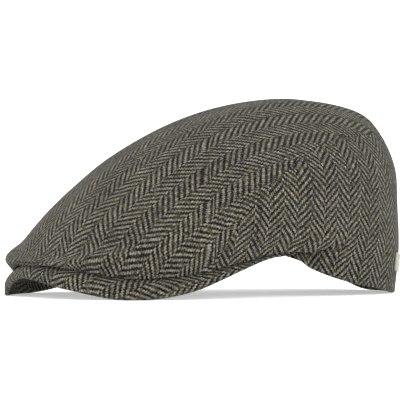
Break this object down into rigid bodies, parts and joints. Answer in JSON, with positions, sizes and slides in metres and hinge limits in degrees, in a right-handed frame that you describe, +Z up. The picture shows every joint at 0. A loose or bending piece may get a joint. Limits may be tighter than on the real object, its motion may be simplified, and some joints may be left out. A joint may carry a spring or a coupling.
{
  "type": "flat cap",
  "caption": "Soft tweed flat cap with a full crown drawn forward over a short arched visor, open underneath for the head.",
  "frame": {"origin": "on the surface that the cap rests on, under the middle of its outline", "axes": "+Z up, the visor points to -Y, the wearer's left is +X"},
  "size_m": [0.1914, 0.2716, 0.1277],
  "materials": {
    "tweed": "grey-brown wool herringbone",
    "badge_cloth": "plain woven badge, blank"
  },
  "bodies": {
    "root": {"top_panel": "tweed", "side_panel_left": "tweed", "side_panel_right": "tweed", "visor": "tweed", "side_badge": "badge_cloth"}
  },
  "joints": []
}
